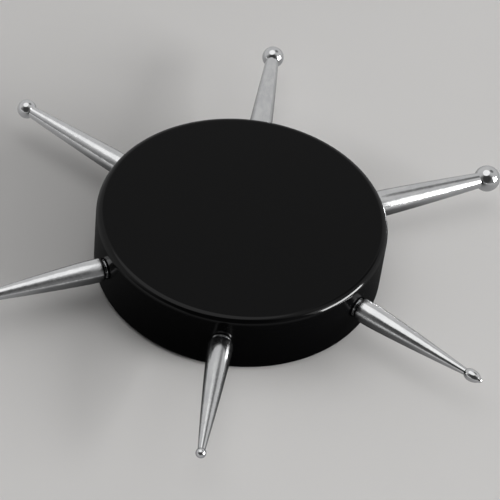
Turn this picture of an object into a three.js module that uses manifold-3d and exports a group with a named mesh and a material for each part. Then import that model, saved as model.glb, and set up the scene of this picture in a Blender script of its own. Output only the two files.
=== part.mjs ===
// Six-pin radial holder: a glossy round case with six tapered steel pins plugged into its rim.
// Each pin's tenon slides into a metal bush in a ring-shaped hub and meets a disc magnet in the middle.
// Millimetres. The origin is the centre of the flat base, +Z is up, and +X points between two pins.

import * as THREE from 'three';
import { mergeVertices } from 'three/addons/utils/BufferGeometryUtils.js';
import Module from 'manifold-3d';

const wasm = await Module();
wasm.setup();

// ---- Driving dimensions ----

// Case
const CASE_R = 15;
const CASE_H = 7.1;
const CASE_EDGE_R = 0.7;
const CASE_WALL = 2.4;
const CASE_TOP = 1.2;

// Base cover, cemented into a rebate in the underside of the case
const COVER_T = 1.6;
const COVER_LEDGE = 0.8;
const COVER_CHAMFER = 0.15;
const BOSS_R = 1.5;
const BOSS_H = 0.5;

// Magnet and the steel plate under it
const MAGNET_R = 8;
const MAGNET_EDGE = 0.2;
const KEEPER_T = 0.8;

// Rib in the case that keys the hub
const RIB_W = 2;
const RIB_DEPTH = 1;

// Bushes
const BUSH_WALL = 0.35;
const BUSH_LIP = 0.3;
const BUSH_LIP_T = 0.6;

// Pins
const TENON_R = 1;
const TENON_CHAMFER = 0.2;
const RELIEF_R = 0.8;
const RELIEF_W = 0.2;
const SHOULDER_DEPTH = 0.3;
const SHOULDER_LENGTH = 0.35;
const SHOULDER_STANDOFF = 0.1;
const SHANK_LAND = 1.2;
const TAPER_POWER = 1.2;
const HOLE_CHAMFER = 0.08;
const FIRST_PIN_DEG = 30;

// Clearances
const TENON_CLEARANCE = 0.06;
const HOLE_CLEARANCE = 0.1;
const FIT = 0.1;
const STACK_GAP = 0.05;
const SEAT_GAP = 0.1;

// One entry for each pin, anticlockwise from above: how far it stands out from the case wall, and the
// radii of its shank, of the neck behind its end, and of the end.
const PINS = [
  { name: 'pin_ball_large', end: ballEnd, reach: 15.45, shankR: 1.4, neckR: 0.84, endR: 1.42 },
  { name: 'pin_ball_medium', end: ballEnd, reach: 15.7, shankR: 1.28, neckR: 0.74, endR: 1.22 },
  { name: 'pin_ball_small', end: ballEnd, reach: 15.3, shankR: 1.22, neckR: 0.64, endR: 1.04 },
  { name: 'pin_ball_slim', end: ballEnd, reach: 15, shankR: 1.22, neckR: 0.43, endR: 0.75 },
  { name: 'pin_ball_fine', end: ballEnd, reach: 14.65, shankR: 1.22, neckR: 0.37, endR: 0.51 },
  { name: 'pin_bud', end: budEnd, reach: 14.85, shankR: 1.22, neckR: 0.36, endR: 0.62 },
];
const BUD_LENGTH = 1.95;
const BUD_TIP_R = 0.28;
const BUD_DRAW_POWER = 2.6;

// Facets
const CASE_FACETS = 48;
const PIN_FACETS = 16;
const EDGE_STEPS = 4;
const TAPER_STEPS = 6;
const END_STEPS = 6;

// ---- Sizes that follow from them ----

const CAVITY_R = CASE_R - CASE_WALL;
const CEILING_Z = CASE_H - CASE_TOP;
const PIN_Z = (COVER_T + CEILING_Z) / 2;
const REBATE_R = CAVITY_R + COVER_LEDGE;
const POCKET_R = MAGNET_R + FIT;
const HUB_R = CAVITY_R - FIT;
const TENON_END_X = MAGNET_R + SEAT_GAP;
const SHOULDER_X = CASE_R + SHOULDER_STANDOFF;
const SHOULDER_END_X = SHOULDER_X + SHOULDER_LENGTH;
const BUSH_BORE_R = TENON_R + TENON_CLEARANCE;
const BUSH_R = BUSH_BORE_R + BUSH_WALL;
const BUSH_LIP_R = BUSH_R + BUSH_LIP;
// The lip's flat outer face stops short of the round cavity wall at the lip's own half-width.
const BUSH_OUTER_X = Math.sqrt(CAVITY_R ** 2 - BUSH_LIP_R ** 2) - FIT;
const BUSH_INNER_X = POCKET_R + FIT;
const WALL_HOLE_R = TENON_R + HOLE_CLEARANCE;

// ---- Materials ----

const blackGloss = { color: 0x0b0b0c, roughness: 0.12, metalness: 0 };
const greyMoulding = { color: 0x3a3c3f, roughness: 0.6, metalness: 0 };
const brass = { color: 0xb08d4a, roughness: 0.35, metalness: 1 };
const nickelPlate = { color: 0xb9b7b0, roughness: 0.25, metalness: 1 };
const plainSteel = { color: 0x8f9296, roughness: 0.45, metalness: 1 };
const polishedSteel = { color: 0xd4d6d9, roughness: 0.1, metalness: 1 };

// ---- Helpers ----

function part(name, geometry, finish) {
  const mesh = new THREE.Mesh(geometry, new THREE.MeshStandardMaterial(finish));
  mesh.name = name;
  return mesh;
}

// A turned piece about +Z. Points are [radius, height], up the outside and down any bore.
function turnedUpright(points, facets) {
  const profile = points.map(([r, z]) => new THREE.Vector2(r, z));
  return new THREE.LatheGeometry(profile, facets).rotateX(Math.PI / 2);
}

// A turned piece about +X. Points are [distance from the middle, radius].
function turnedRadial(points, facets) {
  const profile = points.map(([x, r]) => new THREE.Vector2(r, x));
  return new THREE.LatheGeometry(profile, facets).rotateZ(-Math.PI / 2);
}

// Points of an arc, from one angle to another, in degrees.
function arc(cx, cy, radius, fromDeg, toDeg, steps) {
  const points = [];
  for (let i = 0; i <= steps; i += 1) {
    const a = THREE.MathUtils.degToRad(fromDeg + ((toDeg - fromDeg) * i) / steps);
    points.push([cx + radius * Math.cos(a), cy + radius * Math.sin(a)]);
  }
  return points;
}

function toSolid(geometry) {
  const bare = geometry.clone();
  bare.deleteAttribute('normal');
  bare.deleteAttribute('uv');
  const merged = mergeVertices(bare);
  const corners = merged.index.array;
  const kept = [];
  for (let i = 0; i < corners.length; i += 3) {
    const [a, b, c] = [corners[i], corners[i + 1], corners[i + 2]];
    if (a !== b && b !== c && c !== a) {
      kept.push(a, b, c);
    }
  }
  return new wasm.Manifold(
    new wasm.Mesh({
      numProp: 3,
      vertProperties: new Float32Array(merged.attributes.position.array),
      triVerts: new Uint32Array(kept),
    }),
  );
}

function toGeometry(solid) {
  const mesh = solid.getMesh();
  const geometry = new THREE.BufferGeometry();
  geometry.setAttribute('position', new THREE.BufferAttribute(mesh.vertProperties, mesh.numProp));
  geometry.setIndex(new THREE.BufferAttribute(mesh.triVerts, 1));
  geometry.computeVertexNormals();
  return geometry;
}

function pinAngle(index) {
  return THREE.MathUtils.degToRad(FIRST_PIN_DEG) + (2 * Math.PI * index) / PINS.length;
}

// Takes one copy of a radial cutter out of a solid at each pin.
function cutAtEachPin(solid, cutter) {
  let cut = solid;
  PINS.forEach((pin, index) => {
    const placed = cutter.clone().rotateZ(pinAngle(index)).translate(0, 0, PIN_Z);
    cut = cut.subtract(toSolid(placed));
  });
  return cut;
}

// Turns a radial piece to its pin's place.
function placeAtPin(mesh, index) {
  mesh.rotation.z = pinAngle(index);
  mesh.position.z = PIN_Z;
  return mesh;
}

// A box that reaches from one radius to another along +X, between two heights.
function radialBar(innerX, outerX, width, lowZ, highZ) {
  const bar = new THREE.BoxGeometry(outerX - innerX, width, highZ - lowZ);
  return bar.translate((innerX + outerX) / 2, 0, (lowZ + highZ) / 2);
}

// ---- Puck ----

function caseShell() {
  const rimR = CASE_R - CASE_EDGE_R;
  const shell = toSolid(
    turnedUpright(
      [
        [REBATE_R, 0],
        ...arc(rimR, CASE_EDGE_R, CASE_EDGE_R, -90, 0, EDGE_STEPS),
        ...arc(rimR, CASE_H - CASE_EDGE_R, CASE_EDGE_R, 0, 90, EDGE_STEPS),
        [0, CASE_H],
        [0, CEILING_Z],
        [CAVITY_R, CEILING_Z],
        [CAVITY_R, COVER_T],
        [REBATE_R, COVER_T],
        [REBATE_R, 0],
      ],
      CASE_FACETS,
    ),
  );
  const ribRootX = CAVITY_R + CASE_WALL / 2;
  const ribTopZ = CEILING_Z + CASE_TOP / 2;
  const rib = toSolid(radialBar(CAVITY_R - RIB_DEPTH, ribRootX, RIB_W, COVER_T, ribTopZ));
  const hole = turnedRadial(
    [
      [CAVITY_R - CASE_WALL, 0],
      [CAVITY_R - CASE_WALL, WALL_HOLE_R],
      [CASE_R - HOLE_CHAMFER, WALL_HOLE_R],
      [CASE_R + HOLE_CHAMFER, WALL_HOLE_R + 2 * HOLE_CHAMFER],
      [CASE_R + HOLE_CHAMFER, 0],
    ],
    PIN_FACETS,
  );
  return part('case_shell', toGeometry(cutAtEachPin(shell.add(rib), hole)), blackGloss);
}

function baseCover() {
  const coverR = REBATE_R - FIT;
  const geometry = turnedUpright(
    [
      [0, 0],
      [coverR - COVER_CHAMFER, 0],
      [coverR, COVER_CHAMFER],
      [coverR, COVER_T - STACK_GAP],
      [BOSS_R, COVER_T - STACK_GAP],
      [BOSS_R, COVER_T + BOSS_H],
      [0, COVER_T + BOSS_H],
    ],
    CASE_FACETS,
  );
  return part('base_cover', geometry, blackGloss);
}

function socketHub() {
  const topZ = CEILING_Z - STACK_GAP;
  const ring = toSolid(
    turnedUpright(
      [
        [POCKET_R, COVER_T],
        [HUB_R, COVER_T],
        [HUB_R, topZ],
        [POCKET_R, topZ],
        [POCKET_R, COVER_T],
      ],
      CASE_FACETS,
    ),
  );
  const boreR = BUSH_R + FIT;
  const lipBoreR = BUSH_LIP_R + FIT;
  const lipSeatX = BUSH_OUTER_X - BUSH_LIP_T - FIT;
  const bore = turnedRadial(
    [
      [POCKET_R - CASE_WALL, 0],
      [POCKET_R - CASE_WALL, boreR],
      [lipSeatX, boreR],
      [lipSeatX, lipBoreR],
      [CASE_R, lipBoreR],
      [CASE_R, 0],
    ],
    PIN_FACETS,
  );
  const slotFloorX = CAVITY_R - RIB_DEPTH - FIT;
  const slot = toSolid(radialBar(slotFloorX, CASE_R, RIB_W + 2 * FIT, 0, CASE_H));
  return part('socket_hub', toGeometry(cutAtEachPin(ring, bore).subtract(slot)), greyMoulding);
}

function keeperPlate() {
  const holeR = BOSS_R + FIT;
  const topZ = COVER_T + KEEPER_T;
  const geometry = turnedUpright(
    [
      [holeR, COVER_T],
      [MAGNET_R, COVER_T],
      [MAGNET_R, topZ],
      [holeR, topZ],
      [holeR, COVER_T],
    ],
    CASE_FACETS,
  );
  return part('keeper_plate', geometry, plainSteel);
}

function coreMagnet() {
  const lowZ = COVER_T + KEEPER_T + STACK_GAP;
  const highZ = CEILING_Z - STACK_GAP;
  const geometry = turnedUpright(
    [
      [0, lowZ],
      [MAGNET_R - MAGNET_EDGE, lowZ],
      [MAGNET_R, lowZ + MAGNET_EDGE],
      [MAGNET_R, highZ - MAGNET_EDGE],
      [MAGNET_R - MAGNET_EDGE, highZ],
      [0, highZ],
    ],
    CASE_FACETS,
  );
  return part('core_magnet', geometry, nickelPlate);
}

// ---- Bushes ----

function socketBush(index) {
  const geometry = turnedRadial(
    [
      [BUSH_INNER_X, BUSH_BORE_R],
      [BUSH_INNER_X, BUSH_R],
      [BUSH_OUTER_X - BUSH_LIP_T, BUSH_R],
      [BUSH_OUTER_X - BUSH_LIP_T, BUSH_LIP_R],
      [BUSH_OUTER_X, BUSH_LIP_R],
      [BUSH_OUTER_X, BUSH_BORE_R],
      [BUSH_INNER_X, BUSH_BORE_R],
    ],
    PIN_FACETS,
  );
  return placeAtPin(part(`socket_bush_${index + 1}`, geometry, brass), index);
}

// ---- Pins ----

// Ball end: the neck runs into the ball where the ball is as wide as the neck.
function ballEnd({ reach, endR, neckR }) {
  const startDeg = 180 - THREE.MathUtils.radToDeg(Math.asin(neckR / endR));
  return arc(CASE_R + reach - endR, 0, endR, startDeg, 0, END_STEPS);
}

// Bud end: swells quickly behind the neck, draws in slowly, and closes in a small round nub.
function budEnd({ reach, endR, neckR }) {
  const tipX = CASE_R + reach;
  const nubX = tipX - BUD_TIP_R;
  const neckX = tipX - BUD_LENGTH;
  const fullX = neckX + endR;
  const swell = [
    [neckX, neckR],
    [neckX + endR / 2, (neckR + 3 * endR) / 4],
  ];
  const draw = [];
  for (let i = 0; i < END_STEPS / 2; i += 1) {
    const t = (2 * i) / END_STEPS;
    draw.push([fullX + (nubX - fullX) * t, endR - (endR - BUD_TIP_R) * t ** BUD_DRAW_POWER]);
  }
  return [...swell, ...draw, ...arc(nubX, 0, BUD_TIP_R, 90, 0, END_STEPS / 2)];
}

// Shoulder: an elliptical round, from the face near the case wall out to the full shank.
function shoulderRound(shankR) {
  return arc(0, 0, 1, 180, 90, EDGE_STEPS).map(([across, up]) => [
    SHOULDER_END_X + SHOULDER_LENGTH * across,
    shankR - SHOULDER_DEPTH * (1 - up),
  ]);
}

// Shank: a short straight land, then drawn in to the neck on a slightly full curve.
function shankTaper(neckX, { shankR, neckR }) {
  const startX = SHOULDER_END_X + SHANK_LAND;
  const points = [];
  for (let i = 0; i < TAPER_STEPS; i += 1) {
    const t = i / TAPER_STEPS;
    points.push([startX + (neckX - startX) * t, shankR - (shankR - neckR) * t ** TAPER_POWER]);
  }
  return points;
}

function steelPin(pin, index) {
  const endPoints = pin.end(pin);
  const [neckX] = endPoints[0];
  const geometry = turnedRadial(
    [
      [TENON_END_X, 0],
      [TENON_END_X, TENON_R - TENON_CHAMFER],
      [TENON_END_X + TENON_CHAMFER, TENON_R],
      [SHOULDER_X - RELIEF_W, TENON_R],
      [SHOULDER_X - RELIEF_W, RELIEF_R],
      [SHOULDER_X, RELIEF_R],
      ...shoulderRound(pin.shankR),
      ...shankTaper(neckX, pin),
      ...endPoints,
    ],
    PIN_FACETS,
  );
  return placeAtPin(part(pin.name, geometry, polishedSteel), index);
}

// ---- Assembly ----

const holder = new THREE.Group();
holder.add(caseShell(), baseCover(), socketHub(), keeperPlate(), coreMagnet());
PINS.forEach((pin, index) => holder.add(socketBush(index), steelPin(pin, index)));

export default holder;
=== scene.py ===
# Six-pin radial holder: a glossy black puck with six polished steel stylus pins in its rim.
# Metres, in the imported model's frame: the middle of the flat base is the origin and +Z is up.

import math

import bmesh
import bpy
from mathutils import Matrix, Vector


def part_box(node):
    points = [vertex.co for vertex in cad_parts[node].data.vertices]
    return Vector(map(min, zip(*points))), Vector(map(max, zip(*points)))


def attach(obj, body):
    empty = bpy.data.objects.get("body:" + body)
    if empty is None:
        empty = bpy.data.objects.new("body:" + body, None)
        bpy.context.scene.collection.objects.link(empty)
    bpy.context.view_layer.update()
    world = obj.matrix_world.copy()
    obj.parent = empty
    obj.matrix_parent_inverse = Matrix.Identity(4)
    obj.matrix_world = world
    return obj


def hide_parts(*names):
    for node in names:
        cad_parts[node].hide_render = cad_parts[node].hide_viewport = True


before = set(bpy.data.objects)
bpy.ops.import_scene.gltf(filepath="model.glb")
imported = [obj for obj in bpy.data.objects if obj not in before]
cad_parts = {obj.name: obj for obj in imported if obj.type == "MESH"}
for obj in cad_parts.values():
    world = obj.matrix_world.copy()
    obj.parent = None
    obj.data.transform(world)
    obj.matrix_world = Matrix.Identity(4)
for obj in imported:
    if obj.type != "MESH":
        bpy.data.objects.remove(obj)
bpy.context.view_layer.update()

MM = 0.001
FULL_TURN = 2 * math.pi

# ---- Sizes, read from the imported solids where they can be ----

CASE_LOW, CASE_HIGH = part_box("case_shell")
COVER_LOW, COVER_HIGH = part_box("base_cover")
BUSH_LOW, BUSH_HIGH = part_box("socket_bush_2")

CASE_R = CASE_HIGH.x
CASE_H = CASE_HIGH.z
CASE_EDGE_R = 0.7 * MM
CASE_WALL = 2.4 * MM
CASE_TOP = 1.2 * MM
CAVITY_R = CASE_R - CASE_WALL
CEILING_Z = CASE_H - CASE_TOP

COVER_R = COVER_HIGH.x
COVER_T = 1.6 * MM
COVER_FACE_Z = 1.55 * MM
COVER_CHAMFER = 0.15 * MM
COVER_BOSS_R = 1.5 * MM
COVER_BOSS_TOP = COVER_HIGH.z
COVER_FIT = 0.1 * MM
REBATE_R = COVER_R + COVER_FIT

RIB_HALF_W = 1.0 * MM
RIB_DEPTH = 1.0 * MM

PIN_Z = (COVER_T + CEILING_Z) / 2
WALL_HOLE_R = 1.1 * MM
HOLE_CHAMFER = 0.08 * MM
CUTTER_OVERRUN = 1.0 * MM
FLAT_RING = 0.15 * MM
COVER_RING = 0.1 * MM

BUSH_INNER_X = BUSH_LOW.y
BUSH_OUTER_X = BUSH_HIGH.y
BUSH_BORE_R = 1.06 * MM
BUSH_R = 1.41 * MM
BUSH_LIP_R = (BUSH_HIGH.x - BUSH_LOW.x) / 2
BUSH_LIP_T = 0.6 * MM
BUSH_CHAMFER = 0.08 * MM

TENON_R = 1.0 * MM
TENON_CHAMFER = 0.2 * MM
RELIEF_R = 0.8 * MM
RELIEF_W = 0.2 * MM
RELIEF_BREAK = 0.04 * MM
SHOULDER_STANDOFF = 0.1 * MM
SHOULDER_X = CASE_R + SHOULDER_STANDOFF
SHOULDER_DEPTH = 0.3 * MM
SHOULDER_LENGTH = 0.35 * MM
SHANK_LAND = 1.2 * MM
TAPER_POWER = 1.2
BUD_LENGTH = 1.95 * MM
BUD_TIP_R = 0.28 * MM
BUD_SWELL_POWER = 0.9
BUD_DRAW_POWER = 2.6

# Name, body, kind of end, and the radii in mm of shank, neck and end; anticlockwise from above.
PINS = [
    ("pin_ball_large", "large_pin", "ball", 1.4, 0.84, 1.42),
    ("pin_ball_medium", "medium_pin", "ball", 1.28, 0.74, 1.22),
    ("pin_ball_small", "small_pin", "ball", 1.22, 0.64, 1.04),
    ("pin_ball_slim", "slim_pin", "ball", 1.22, 0.43, 0.75),
    ("pin_ball_fine", "fine_pin", "ball", 1.22, 0.37, 0.51),
    ("pin_bud", "bud_pin", "bud", 1.22, 0.36, 0.62),
]
FIRST_PIN = math.radians(30)

BLACK = (0.0006, 0.0006, 0.0007)
FLAT_GLOSS = 0.13
# Painted highlight: the reflection strength on the rounded top edge, above the flat top's.
EDGE_SHEEN_LEVEL = 0.26

# How far before a pin's end its lathe marks start to fade, and the share of them left on the end.
MARKS_FADE_MM = 2.0
MARKS_LEFT = 0.05

# How near a height or a wall an edge or face must be to count as on it, and how square to it.
EDGE_TOLERANCE = 0.01 * MM
FACE_TOLERANCE = 0.001 * MM
WALL_TOLERANCE = 0.05 * MM
MERGE_DISTANCE = 0.0005 * MM
LEVEL = 0.9999
UPRIGHT = 0.1

CASE_SIDES = 256
PIN_SIDES = 72
EDGE_SEGMENTS = 12
CHAMFER_SEGMENTS = 3
SHOULDER_STEPS = 10
TAPER_STEPS = 32
BALL_STEPS = 28
BUD_SWELL_STEPS = 10
BUD_DRAW_STEPS = 16
NUB_STEPS = 10


def pin_angle(index):
    return FIRST_PIN + FULL_TURN * index / len(PINS)


def tip_distance(node, index):
    """How far a pin's tip is from the holder's axis."""
    angle = pin_angle(index)
    outward = Vector((math.cos(angle), math.sin(angle), 0))
    return max(v.co.dot(outward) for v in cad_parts[node].data.vertices)


def tenon_distance(node, index):
    """How far a pin's inner end is from the holder's axis."""
    angle = pin_angle(index)
    outward = Vector((math.cos(angle), math.sin(angle), 0))
    return min(v.co.dot(outward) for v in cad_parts[node].data.vertices)


# ---- Bench tools ----


def put_down_everything():
    """Nothing selected, nothing in edit mode."""
    if bpy.context.object and bpy.context.object.mode != "OBJECT":
        bpy.ops.object.mode_set(mode="OBJECT")
    bpy.ops.object.select_all(action="DESELECT")


def pick_up(piece):
    """The piece alone is selected and active."""
    put_down_everything()
    piece.select_set(True)
    bpy.context.view_layer.objects.active = piece


def select_faces(piece, test):
    """In edit mode, selects the faces whose middle and normal pass the test."""
    bpy.ops.mesh.select_mode(type="FACE")
    bpy.ops.mesh.select_all(action="DESELECT")
    mesh = bmesh.from_edit_mesh(piece.data)
    for face in mesh.faces:
        if test(face.calc_center_median(), face.normal):
            face.select_set(True)
    bmesh.update_edit_mesh(piece.data)


def select_edges(piece, test):
    """In edit mode, selects the edges whose two ends pass the test."""
    bpy.ops.mesh.select_mode(type="EDGE")
    bpy.ops.mesh.select_all(action="DESELECT")
    mesh = bmesh.from_edit_mesh(piece.data)
    for edge in mesh.edges:
        if test(edge.verts[0].co, edge.verts[1].co):
            edge.select_set(True)
    bmesh.update_edit_mesh(piece.data)


def raise_faces(height):
    bpy.ops.mesh.extrude_region_move(TRANSFORM_OT_translate={"value": (0, 0, height)})


def both_at(z):
    """A test for edges: both ends at this height."""
    return lambda a, b: abs(a.z - z) < EDGE_TOLERANCE and abs(b.z - z) < EDGE_TOLERANCE


def flat_at(z, up):
    """A test for faces: level, at this height, and facing up (1) or down (-1)."""
    return lambda middle, normal: abs(middle.z - z) < FACE_TOLERANCE and normal.z * up > LEVEL


def settle(piece, angle=35):
    """Applies the place to the mesh and smooths it by angle."""
    pick_up(piece)
    bpy.ops.object.transform_apply(location=True, rotation=True, scale=True)
    bpy.ops.object.shade_smooth_by_angle(angle=math.radians(angle))


def turned(name, outline):
    """A piece turned about X. The outline is (distance along X, radius), as cut on a lathe."""
    put_down_everything()
    start_x, start_r = outline[0]
    bpy.ops.mesh.primitive_plane_add(size=0.1 * MM, location=(start_x, 0, start_r))
    piece = bpy.context.object
    piece.name = name
    bpy.ops.object.transform_apply(location=True, rotation=True, scale=True)
    bpy.ops.object.mode_set(mode="EDIT")
    bpy.ops.mesh.select_mode(type="VERT")
    bpy.ops.mesh.select_all(action="SELECT")
    bpy.ops.mesh.merge(type="CENTER")
    for (x0, r0), (x1, r1) in zip(outline, outline[1:]):
        step = (x1 - x0, 0, r1 - r0)
        bpy.ops.mesh.extrude_region_move(TRANSFORM_OT_translate={"value": step})
    bpy.ops.mesh.select_all(action="SELECT")
    bpy.ops.mesh.spin(
        steps=PIN_SIDES, angle=FULL_TURN, center=(0, 0, 0), axis=(1, 0, 0)
    )
    bpy.ops.mesh.select_all(action="SELECT")
    bpy.ops.mesh.remove_doubles(threshold=MERGE_DISTANCE)
    bpy.ops.mesh.select_all(action="SELECT")
    bpy.ops.mesh.normals_make_consistent(inside=False)
    bpy.ops.object.mode_set(mode="OBJECT")
    return piece


def arc(middle_x, middle_r, radius, start_deg, end_deg, steps):
    """Points along an arc in the lathe's outline, both ends included."""
    points = []
    for i in range(steps + 1):
        a = math.radians(start_deg + (end_deg - start_deg) * i / steps)
        points.append((middle_x + radius * math.cos(a), middle_r + radius * math.sin(a)))
    return points


# ---- Material nodes ----


def new_finish(name, colour, roughness, metallic=0.0):
    """A finish and its shader, in one plain colour to start from."""
    finish = bpy.data.materials.new(name)
    finish.use_nodes = True
    shader = finish.node_tree.nodes["Principled BSDF"]
    shader.inputs["Base Color"].default_value = (*colour, 1)
    shader.inputs["Roughness"].default_value = roughness
    shader.inputs["Metallic"].default_value = metallic
    return finish, shader


def add(finish, kind, **values):
    """A node in the finish. Values set its own settings, or else the sockets of that name."""
    node = finish.node_tree.nodes.new(kind)
    for key, value in values.items():
        if hasattr(node, key):
            setattr(node, key, value)
        else:
            node.inputs[key.replace("_", " ")].default_value = value
    return node


def join(finish, output, target):
    finish.node_tree.links.new(output, target)


def surface_mm(finish, angle=0.0, stretch=(1, 1, 1)):
    """Position on the piece in mm, turned about Z by angle and then stretched."""
    place = add(finish, "ShaderNodeTexCoord")
    turn = add(finish, "ShaderNodeMapping", vector_type="POINT")
    turn.inputs["Rotation"].default_value = (0, 0, -angle)
    turn.inputs["Scale"].default_value = (1 / MM, 1 / MM, 1 / MM)
    spread = add(finish, "ShaderNodeMapping", vector_type="POINT")
    spread.inputs["Scale"].default_value = stretch
    join(finish, place.outputs["Object"], turn.inputs["Vector"])
    join(finish, turn.outputs["Vector"], spread.inputs["Vector"])
    return spread.outputs["Vector"]


def noise(finish, position, scale, detail=3.0, roughness=0.5):
    grain = add(finish, "ShaderNodeTexNoise", Scale=scale, Detail=detail, Roughness=roughness)
    join(finish, position, grain.inputs["Vector"])
    return grain.outputs["Fac"]


def spread_to(finish, value, low, high, from_low=0.3, from_high=0.7):
    """Maps a grey value to a range."""
    span = add(finish, "ShaderNodeMapRange")
    span.inputs["From Min"].default_value = from_low
    span.inputs["From Max"].default_value = from_high
    span.inputs["To Min"].default_value = low
    span.inputs["To Max"].default_value = high
    join(finish, value, span.inputs["Value"])
    return span.outputs["Result"]


def colours(finish, value, *stops):
    """A grey value made into a colour. Each stop is (grey value, colour)."""
    ramp = add(finish, "ShaderNodeValToRGB")
    points = ramp.color_ramp.elements
    while len(points) < len(stops):
        points.new(0.5)
    for point, (at, colour) in zip(points, stops):
        point.position = at
        point.color = (*colour, 1)
    join(finish, value, ramp.inputs["Fac"])
    return ramp.outputs["Color"]


def bumps(finish, shader, height, strength, distance_mm, under=None):
    """Raises the surface by a grey height; under is another bump's normal to add to."""
    bump = add(finish, "ShaderNodeBump")
    bump.inputs["Strength"].default_value = strength
    bump.inputs["Distance"].default_value = distance_mm * MM
    join(finish, height, bump.inputs["Height"])
    if under is not None:
        join(finish, under, bump.inputs["Normal"])
    join(finish, bump.outputs["Normal"], shader.inputs["Normal"])
    return bump.outputs["Normal"]


def black_gloss(name, roughness_low, roughness_high):
    """Polished black plastic with faint orange peel and wipe marks, and a painted highlight: its
    reflection is turned up round the top edge.
    """
    finish, shader = new_finish(name, BLACK, 0.1)
    place = surface_mm(finish)
    split = add(finish, "ShaderNodeSeparateXYZ")
    join(finish, place, split.inputs["Vector"])
    flat = add(finish, "ShaderNodeCombineXYZ")
    join(finish, split.outputs["X"], flat.inputs["X"])
    join(finish, split.outputs["Y"], flat.inputs["Y"])
    reach = add(finish, "ShaderNodeVectorMath", operation="LENGTH")
    join(finish, flat.outputs["Vector"], reach.inputs["Vector"])
    # Painted highlight: the specular level rises only on the rounded top edge, to brighten the
    # rim's highlight.
    edge_in = (CASE_R - CASE_EDGE_R) / MM
    edge_low = (CASE_H - CASE_EDGE_R) / MM
    near_rim = spread_to(finish, reach.outputs["Value"], 0, 1, edge_in, edge_in + 0.1)
    near_top = spread_to(finish, split.outputs["Z"], 0, 1, edge_low, edge_low + 0.3)
    painted_edge_sheen = add(finish, "ShaderNodeMath", operation="MULTIPLY")
    join(finish, near_rim, painted_edge_sheen.inputs[0])
    join(finish, near_top, painted_edge_sheen.inputs[1])
    gloss = spread_to(finish, painted_edge_sheen.outputs["Value"], FLAT_GLOSS, EDGE_SHEEN_LEVEL, 0, 1)
    join(finish, gloss, shader.inputs["Specular IOR Level"])
    wiped = surface_mm(finish, angle=math.radians(25), stretch=(0.25, 1.6, 1))
    wear = noise(finish, wiped, 0.9, 5.0, 0.6)
    join(finish, spread_to(finish, wear, roughness_low, roughness_high), shader.inputs["Roughness"])
    cloud = noise(finish, place, 5.0, 3.0)
    tint = colours(finish, cloud, (0.35, BLACK), (0.7, [1.5 * c for c in BLACK]))
    join(finish, tint, shader.inputs["Base Color"])
    peel = noise(finish, place, 1.2, 1.0)
    lumps = bumps(finish, shader, peel, 0.03, 0.004)
    specks = noise(finish, place, 12.0, 2.0)
    bumps(finish, shader, specks, 0.02, 0.002, under=lumps)
    return finish


def polished_steel(name, angle, marks_end_mm):
    """Turned and polished steel: fine marks on the shank that fade out before the bright end."""
    finish, shader = new_finish(name, (0.78, 0.785, 0.79), 0.1, 1.0)
    along = surface_mm(finish, angle)
    split = add(finish, "ShaderNodeSeparateXYZ")
    join(finish, along, split.inputs["Vector"])
    fade_from = marks_end_mm - MARKS_FADE_MM
    fade = spread_to(finish, split.outputs["X"], 1.0, MARKS_LEFT, fade_from, marks_end_mm)
    grit = noise(finish, surface_mm(finish, angle, (3.2, 5.5, 5.5)), 1.0, 2.0, 0.6)
    ripple = noise(finish, surface_mm(finish, angle, (0.25, 3.0, 3.0)), 1.0, 2.0)
    broad = noise(finish, surface_mm(finish, angle, (0.7, 1.5, 1.5)), 1.0, 2.0)
    weight = add(finish, "ShaderNodeMath", operation="MULTIPLY")
    join(finish, grit, weight.inputs[0])
    join(finish, fade, weight.inputs[1])
    marks = bumps(finish, shader, weight.outputs["Value"], 0.40, 0.018)
    drawn = add(finish, "ShaderNodeMath", operation="MULTIPLY")
    join(finish, ripple, drawn.inputs[0])
    join(finish, fade, drawn.inputs[1])
    bumps(finish, shader, drawn.outputs["Value"], 0.30, 0.015, under=marks)
    smear = add(finish, "ShaderNodeMath", operation="MULTIPLY_ADD")
    join(finish, spread_to(finish, grit, 0.08, 0.20), smear.inputs[0])
    join(finish, fade, smear.inputs[1])
    smear.inputs[2].default_value = 0.04
    join(finish, smear.outputs["Value"], shader.inputs["Roughness"])
    tone = colours(finish, broad, (0.35, (0.73, 0.735, 0.745)), (0.65, (0.80, 0.803, 0.806)))
    join(finish, tone, shader.inputs["Base Color"])
    return finish


def turned_brass(name, angle):
    finish, shader = new_finish(name, (0.69, 0.53, 0.27), 0.3, 1.0)
    rings = noise(finish, surface_mm(finish, angle, (9.0, 0.4, 0.4)), 1.0, 3.0)
    stain = noise(finish, surface_mm(finish), 1.8, 4.0)
    tone = colours(finish, stain, (0.3, (0.42, 0.28, 0.11)), (0.7, (0.74, 0.56, 0.28)))
    join(finish, tone, shader.inputs["Base Color"])
    join(finish, spread_to(finish, rings, 0.2, 0.42), shader.inputs["Roughness"])
    bumps(finish, shader, rings, 0.3, 0.02)
    return finish


def nickel_plate(name):
    finish, shader = new_finish(name, (0.72, 0.71, 0.68), 0.2, 1.0)
    place = surface_mm(finish)
    cloud = noise(finish, place, 0.9, 4.0)
    grit = noise(finish, place, 14.0, 2.0)
    tone = colours(finish, cloud, (0.3, (0.62, 0.60, 0.55)), (0.7, (0.76, 0.75, 0.72)))
    join(finish, tone, shader.inputs["Base Color"])
    join(finish, spread_to(finish, cloud, 0.16, 0.32), shader.inputs["Roughness"])
    bumps(finish, shader, grit, 0.15, 0.01)
    return finish


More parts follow.
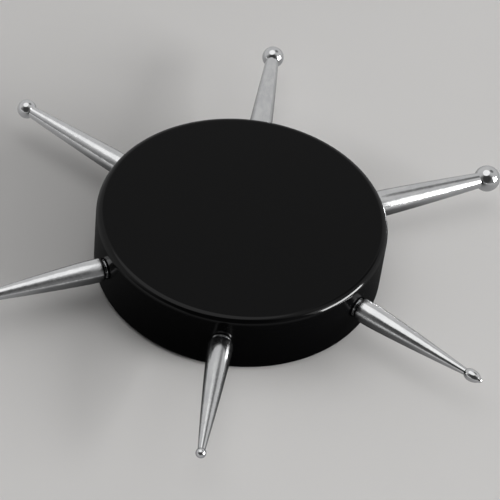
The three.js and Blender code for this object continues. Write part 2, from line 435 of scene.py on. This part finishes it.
def rolled_steel(name):
    finish, shader = new_finish(name, (0.55, 0.56, 0.58), 0.4, 1.0)
    rolled = noise(finish, surface_mm(finish, 0.0, (0.5, 12.0, 1.0)), 1.0, 4.0)
    stain = noise(finish, surface_mm(finish), 0.6, 3.0)
    tone = colours(finish, stain, (0.3, (0.40, 0.40, 0.41)), (0.7, (0.58, 0.59, 0.61)))
    join(finish, tone, shader.inputs["Base Color"])
    join(finish, spread_to(finish, rolled, 0.3, 0.55), shader.inputs["Roughness"])
    bumps(finish, shader, rolled, 0.25, 0.015)
    return finish


def grey_moulding(name):
    finish, shader = new_finish(name, (0.2, 0.21, 0.22), 0.6)
    place = surface_mm(finish)
    grain = noise(finish, place, 8.0, 3.0)
    cloud = noise(finish, place, 0.5, 2.0)
    tone = colours(finish, cloud, (0.3, (0.17, 0.18, 0.19)), (0.7, (0.23, 0.24, 0.25)))
    join(finish, tone, shader.inputs["Base Color"])
    join(finish, spread_to(finish, grain, 0.5, 0.72), shader.inputs["Roughness"])
    bumps(finish, shader, grain, 0.35, 0.03)
    return finish


def wear_finish(piece, finish):
    piece.data.materials.clear()
    piece.data.materials.append(finish)


# ---- Case ----


def hole_drill():
    """Six round cutters with a countersink at the case wall, in one mesh."""
    cutters = []
    tip = CASE_R + CUTTER_OVERRUN
    outline = [
        (CAVITY_R - CASE_WALL, 0),
        (CAVITY_R - CASE_WALL, WALL_HOLE_R),
        (CASE_R - HOLE_CHAMFER, WALL_HOLE_R),
        (tip, WALL_HOLE_R + tip - CASE_R + HOLE_CHAMFER),
        (tip, 0),
    ]
    for index in range(len(PINS)):
        cutter = turned("cutter", outline)
        cutter.rotation_euler.z = pin_angle(index)
        cutter.location.z = PIN_Z
        cutters.append(cutter)
    put_down_everything()
    for cutter in cutters:
        cutter.select_set(True)
    bpy.context.view_layer.objects.active = cutters[0]
    bpy.ops.object.transform_apply(location=True, rotation=True, scale=True)
    bpy.ops.object.join()
    return bpy.context.object


def make_case():
    put_down_everything()
    bpy.ops.mesh.primitive_cylinder_add(
        vertices=CASE_SIDES, radius=CASE_R, depth=CASE_H, location=(0, 0, CASE_H / 2)
    )
    case = bpy.context.object
    case.name = "case"
    bpy.ops.object.transform_apply(location=True, rotation=True, scale=True)
    bpy.ops.object.mode_set(mode="EDIT")

    # Round both rims.
    for z in (0, CASE_H):
        select_edges(case, both_at(z))
        bpy.ops.mesh.bevel(offset=CASE_EDGE_R, segments=EDGE_SEGMENTS, profile=0.5)

    # A narrow flat ring inside the top rim keeps the top's shading flat.
    select_faces(case, flat_at(CASE_H, 1))
    bpy.ops.mesh.inset(thickness=FLAT_RING)

    # Rebate for the cover, then the cavity.
    select_faces(case, flat_at(0, -1))
    bpy.ops.mesh.inset(thickness=CASE_R - CASE_EDGE_R - REBATE_R)
    raise_faces(COVER_T)
    bpy.ops.mesh.inset(thickness=REBATE_R - CAVITY_R)
    raise_faces(CEILING_Z - COVER_T)

    # The rib that keys the hub.
    def in_rib(middle, normal):
        reach = math.hypot(middle.x, middle.y)
        on_wall = abs(reach - CAVITY_R) < WALL_TOLERANCE and abs(normal.z) < UPRIGHT
        return on_wall and middle.x > 0 and abs(middle.y) < RIB_HALF_W

    select_faces(case, in_rib)
    bpy.ops.mesh.extrude_region_move(TRANSFORM_OT_translate={"value": (-RIB_DEPTH, 0, 0)})
    bpy.ops.object.mode_set(mode="OBJECT")

    drill = hole_drill()
    pick_up(case)
    cut = case.modifiers.new("pin_holes", "BOOLEAN")
    cut.operation = "DIFFERENCE"
    cut.solver = "EXACT"
    cut.object = drill
    bpy.ops.object.modifier_apply(modifier=cut.name)
    bpy.data.objects.remove(drill)
    settle(case)
    return case


def make_cover():
    put_down_everything()
    bpy.ops.mesh.primitive_cylinder_add(
        vertices=CASE_SIDES, radius=COVER_R, depth=COVER_FACE_Z, location=(0, 0, COVER_FACE_Z / 2)
    )
    cover = bpy.context.object
    cover.name = "cover"
    bpy.ops.object.transform_apply(location=True, rotation=True, scale=True)
    bpy.ops.object.mode_set(mode="EDIT")
    select_edges(cover, both_at(0))
    bpy.ops.mesh.bevel(offset=COVER_CHAMFER, segments=CHAMFER_SEGMENTS, profile=0.5)
    select_faces(cover, flat_at(0, -1))
    bpy.ops.mesh.inset(thickness=COVER_RING)

    # The boss that centres the steel plate.
    select_faces(cover, flat_at(COVER_FACE_Z, 1))
    bpy.ops.mesh.inset(thickness=COVER_R - COVER_BOSS_R)
    raise_faces(COVER_BOSS_TOP - COVER_FACE_Z)
    bpy.ops.object.mode_set(mode="OBJECT")
    settle(cover)
    return cover


# ---- Bushes ----


def make_bushes():
    c = BUSH_CHAMFER
    lip_x = BUSH_OUTER_X - BUSH_LIP_T
    outline = [
        (BUSH_INNER_X, BUSH_BORE_R + c),
        (BUSH_INNER_X, BUSH_R - c),
        (BUSH_INNER_X + c, BUSH_R),
        (lip_x, BUSH_R),
        (lip_x, BUSH_LIP_R),
        (BUSH_OUTER_X - c, BUSH_LIP_R),
        (BUSH_OUTER_X, BUSH_LIP_R - c),
        (BUSH_OUTER_X, BUSH_BORE_R + c),
        (BUSH_OUTER_X - c, BUSH_BORE_R),
        (BUSH_INNER_X + c, BUSH_BORE_R),
        (BUSH_INNER_X, BUSH_BORE_R + c),
    ]
    pattern = turned("bush_1", outline)
    bushes = [pattern]
    for index in range(1, len(PINS)):
        bush = pattern.copy()
        bush.data = pattern.data.copy()
        bush.name = f"bush_{index + 1}"
        bpy.context.scene.collection.objects.link(bush)
        bushes.append(bush)
    for index, bush in enumerate(bushes):
        bush.rotation_euler.z = pin_angle(index)
        bush.location.z = PIN_Z
        settle(bush)
    return bushes


# ---- Pins ----


def ball_end(tip_x, end_r, neck_r):
    """From where the ball is as wide as the neck, round to the tip."""
    start = 180 - math.degrees(math.asin(neck_r / end_r))
    return arc(tip_x - end_r, 0, end_r, start, 0, BALL_STEPS)


def bud_end(tip_x, end_r, neck_r):
    """Swells quickly behind the neck, draws in slowly, and closes in a small round nub."""
    nub_x = tip_x - BUD_TIP_R
    neck_x = tip_x - BUD_LENGTH
    full_x = neck_x + end_r
    points = []
    for i in range(BUD_SWELL_STEPS):
        t = i / BUD_SWELL_STEPS
        swell = math.sin(t * math.pi / 2) ** BUD_SWELL_POWER
        points.append((neck_x + end_r * t, neck_r + (end_r - neck_r) * swell))
    for i in range(BUD_DRAW_STEPS):
        t = i / BUD_DRAW_STEPS
        x = full_x + (nub_x - full_x) * t
        points.append((x, end_r - (end_r - BUD_TIP_R) * t**BUD_DRAW_POWER))
    return points + arc(nub_x, 0, BUD_TIP_R, 90, 0, NUB_STEPS)


def shoulder_round(shank_r):
    """An elliptical round, from the face near the case wall out to the full shank."""
    points = []
    for across, up in arc(0, 0, 1, 180, 90, SHOULDER_STEPS):
        x = SHOULDER_X + SHOULDER_LENGTH * (1 + across)
        points.append((x, shank_r - SHOULDER_DEPTH * (1 - up)))
    return points


def shank_taper(neck_x, shank_r, neck_r):
    """A short straight land, then drawn in to the neck on a slightly full curve."""
    start_x = SHOULDER_X + SHOULDER_LENGTH + SHANK_LAND
    points = []
    for i in range(TAPER_STEPS):
        t = i / TAPER_STEPS
        x = start_x + (neck_x - start_x) * t
        points.append((x, shank_r - (shank_r - neck_r) * t**TAPER_POWER))
    return points


def pin_outline(tenon_x, tip_x, kind, shank_r, neck_r, end_r):
    end = ball_end(tip_x, end_r, neck_r) if kind == "ball" else bud_end(tip_x, end_r, neck_r)
    neck_x = end[0][0]
    groove_x = SHOULDER_X - RELIEF_W
    return [
        (tenon_x, 0),
        (tenon_x, TENON_R - TENON_CHAMFER),
        (tenon_x + TENON_CHAMFER, TENON_R),
        (groove_x - RELIEF_BREAK, TENON_R),
        (groove_x, TENON_R - RELIEF_BREAK),
        (groove_x, RELIEF_R),
        (SHOULDER_X, RELIEF_R),
        *shoulder_round(shank_r),
        *shank_taper(neck_x, shank_r, neck_r),
        *end,
    ]


def make_pin(index):
    node, body, kind, shank_mm, neck_mm, end_mm = PINS[index]
    tip_x = tip_distance(node, index)
    tenon_x = tenon_distance(node, index)
    outline = pin_outline(tenon_x, tip_x, kind, shank_mm * MM, neck_mm * MM, end_mm * MM)
    pin = turned(node.replace("pin_", "steel_pin_"), outline)
    pin.rotation_euler.z = pin_angle(index)
    pin.location.z = PIN_Z
    settle(pin, 40)
    marks_end = tip_x / MM - (2 * end_mm if kind == "ball" else BUD_LENGTH / MM)
    wear_finish(pin, polished_steel(f"polished_steel_{index + 1}", pin_angle(index), marks_end))
    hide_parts(node)
    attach(pin, body)
    return pin


# ---- Build ----

case = make_case()
wear_finish(case, black_gloss("black_gloss_case", 0.06, 0.11))
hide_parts("case_shell")
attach(case, "puck")

cover = make_cover()
wear_finish(cover, black_gloss("black_gloss_cover", 0.14, 0.24))
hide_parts("base_cover")
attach(cover, "puck")

for index, bush in enumerate(make_bushes()):
    wear_finish(bush, turned_brass(f"brass_{index + 1}", pin_angle(index)))
    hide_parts(f"socket_bush_{index + 1}")
    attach(bush, "puck")

for index in range(len(PINS)):
    make_pin(index)

for node, finish in (
    ("socket_hub", grey_moulding("grey_moulding_hub")),
    ("keeper_plate", rolled_steel("rolled_steel_keeper")),
    ("core_magnet", nickel_plate("nickel_plate_magnet")),
):
    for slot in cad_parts[node].material_slots:
        slot.material = finish

# ---- Studio ----

FLOOR_TONE = (0.66, 0.65, 0.64)
FLOOR_SIZE = 1.6
CARD_HEIGHT = 0.02 * MM
CARD_REACH_MM = 60
# Painted shade in reflections: the card's glow, darkest by the case and grey far out.
CARD_SHADE_TONES = (
    (0.24, (0.02, 0.02, 0.02)),
    (0.35, (0.10, 0.10, 0.10)),
    (0.44, (0.26, 0.26, 0.26)),
    (0.65, (0.42, 0.42, 0.42)),
)
ROOM_LEVEL = 0.54
FRONT_LEVEL = 0.16
HORIZON_LEVEL = 0.8
HORIZON_AIM = (-145, 0)
GAP_SHARE = 0.3
GAP_AIM = (50, 52)
FRONT_GAP_SHARE = 0.3
FRONT_GAP_AIM = (-95, 38)
CEILING_LEVEL = 1.05
CEILING_AIM = (160, 76)

CAMERA_AZIMUTH = 1.993
CAMERA_ELEVATION = 45.012
CAMERA_TIP = 7.171
CAMERA_TARGET_MM = (1.24, -1.951, 4.0)
CAMERA_DISTANCE_MM = 208.74
CAMERA_LENS_MM = 146.39


def make_floor():
    put_down_everything()
    bpy.ops.mesh.primitive_plane_add(size=FLOOR_SIZE, location=(0, 0, 0))
    floor = bpy.context.object
    floor.name = "floor"
    finish, shader = new_finish("pale_floor", FLOOR_TONE, 0.7)
    shader.inputs["Specular IOR Level"].default_value = 0.1
    grain = noise(finish, surface_mm(finish), 0.02, 3.0)
    darker = [0.96 * c for c in FLOOR_TONE]
    tone = colours(finish, grain, (0.3, darker), (0.7, FLOOR_TONE))
    join(finish, tone, shader.inputs["Base Color"])
    wear_finish(floor, finish)
    return floor


def make_table_card():
    """A glowing card on the floor that only shows in polished surfaces, a painted reflection of the
    floor with painted shade: dark by the case, grey far out.
    """
    put_down_everything()
    bpy.ops.mesh.primitive_plane_add(size=FLOOR_SIZE, location=(0, 0, CARD_HEIGHT))
    card = bpy.context.object
    card.name = "table_card"
    finish = bpy.data.materials.new("painted_shade_card")
    finish.use_nodes = True
    nodes = finish.node_tree.nodes
    nodes.remove(nodes["Principled BSDF"])
    # The card glows though it is no lamp; its darkening near the case is painted shade.
    glow = add(finish, "ShaderNodeEmission")
    reach = add(finish, "ShaderNodeVectorMath", operation="LENGTH")
    join(finish, surface_mm(finish), reach.inputs["Vector"])
    share = spread_to(finish, reach.outputs["Value"], 0, 1, 0, CARD_REACH_MM)
    join(finish, colours(finish, share, *CARD_SHADE_TONES), glow.inputs["Color"])
    join(finish, glow.outputs["Emission"], nodes["Material Output"].inputs["Surface"])
    wear_finish(card, finish)
    card.visible_camera = False
    card.visible_diffuse = False
    card.visible_shadow = False
    card.visible_transmission = False
    return card


def pointing(azimuth, elevation):
    """The direction of an azimuth and elevation in degrees, from the holder."""
    a, e = math.radians(azimuth), math.radians(elevation)
    return Vector((math.cos(a) * math.cos(e), math.sin(a) * math.cos(e), math.sin(e)))


def soft_light(name, azimuth, elevation, distance, width, height, radiance):
    """A soft box seen from the holder at an azimuth and elevation, out of the camera's own view."""
    lamp = bpy.data.lights.new(name, "AREA")
    lamp.shape = "RECTANGLE"
    lamp.size = width
    lamp.size_y = height
    lamp.energy = radiance * math.pi * width * height
    stand = bpy.data.objects.new(name, lamp)
    bpy.context.scene.collection.objects.link(stand)
    back = pointing(azimuth, elevation)
    stand.location = back * distance
    stand.rotation_mode = "QUATERNION"
    stand.rotation_quaternion = back.to_track_quat("Z", "Y")
    stand.visible_camera = False
    return stand


def make_room_light():
    """Light from all round: a grey room behind, dark in front, and a broad pale ceiling light.

    Two darker gaps, behind right and in front, give the steel its dark streaks.
    """
    world = bpy.data.worlds.new("studio")
    world.use_nodes = True
    nodes = world.node_tree.nodes
    links = world.node_tree.links
    way = nodes.new("ShaderNodeTexCoord")
    split = nodes.new("ShaderNodeSeparateXYZ")
    links.new(way.outputs["Generated"], split.inputs["Vector"])

    def span(value, low, high, from_low, from_high):
        """Eases from low to high as the value goes from from_low to from_high."""
        node = nodes.new("ShaderNodeMapRange")
        node.interpolation_type = "SMOOTHSTEP"
        node.inputs["From Min"].default_value = from_low
        node.inputs["From Max"].default_value = from_high
        node.inputs["To Min"].default_value = low
        node.inputs["To Max"].default_value = high
        links.new(value, node.inputs["Value"])
        return node.outputs["Result"]

    def towards(azimuth, elevation):
        """How nearly a direction points to this azimuth and elevation: 1 straight at it."""
        node = nodes.new("ShaderNodeVectorMath")
        node.operation = "DOT_PRODUCT"
        node.inputs[1].default_value = pointing(azimuth, elevation)
        links.new(way.outputs["Generated"], node.inputs[0])
        return node.outputs["Value"]

    def combine(kind, first, second):
        node = nodes.new("ShaderNodeMath")
        node.operation = kind
        links.new(first, node.inputs[0])
        links.new(second, node.inputs[1])
        return node.outputs["Value"]

    room = span(split.outputs["Y"], FRONT_LEVEL, ROOM_LEVEL, -0.50, -0.05)
    gap = span(towards(*GAP_AIM), 1, GAP_SHARE, 0.955, 0.99)
    front_gap = span(towards(*FRONT_GAP_AIM), 1, FRONT_GAP_SHARE, 0.70, 0.90)
    line = span(split.outputs["Z"], HORIZON_LEVEL, 0, 0.04, 0.16)
    line_ends = span(towards(*HORIZON_AIM), 0, 1, 0.84, 0.94)
    ceiling = span(towards(*CEILING_AIM), 0, CEILING_LEVEL, 0.85, 0.90)
    level = combine("MULTIPLY", combine("MULTIPLY", room, gap), front_gap)
    level = combine("MAXIMUM", level, combine("MULTIPLY", line, line_ends))
    level = combine("MAXIMUM", level, ceiling)
    nodes["Background"].inputs["Color"].default_value = (1, 1, 1, 1)
    links.new(level, nodes["Background"].inputs["Strength"])
    bpy.context.scene.world = world


def make_camera():
    """Looks down on the holder from in front, a little from the right, tipped slightly."""
    azimuth = math.radians(CAMERA_AZIMUTH)
    elevation = math.radians(CAMERA_ELEVATION)
    tip = math.radians(CAMERA_TIP)
    target = Vector(CAMERA_TARGET_MM) * MM
    back = Vector(
        (
            math.sin(azimuth) * math.cos(elevation),
            -math.cos(azimuth) * math.cos(elevation),
            math.sin(elevation),
        )
    )
    level_right = Vector((0, 0, 1)).cross(back).normalized()
    level_up = back.cross(level_right)
    right = level_right * math.cos(tip) + level_up * math.sin(tip)
    up = level_up * math.cos(tip) - level_right * math.sin(tip)
    camera = bpy.data.objects.new("camera", bpy.data.cameras.new("camera"))
    bpy.context.scene.collection.objects.link(camera)
    camera.data.sensor_width = 36
    camera.data.lens = CAMERA_LENS_MM
    camera.data.clip_start = 0.01
    camera.data.clip_end = 10
    turn = Matrix((right, up, back)).transposed().to_4x4()
    camera.matrix_world = Matrix.Translation(target + back * CAMERA_DISTANCE_MM * MM) @ turn
    bpy.context.scene.camera = camera


make_floor()
make_table_card()
make_room_light()
soft_light(
    "right_box", azimuth=-20, elevation=22, distance=0.7, width=0.26, height=0.45, radiance=1.3
)
soft_light(
    "right_strip", azimuth=-8, elevation=10, distance=0.69, width=0.42, height=0.24, radiance=26
)
make_camera()
bpy.context.scene.view_settings.view_transform = "Standard"
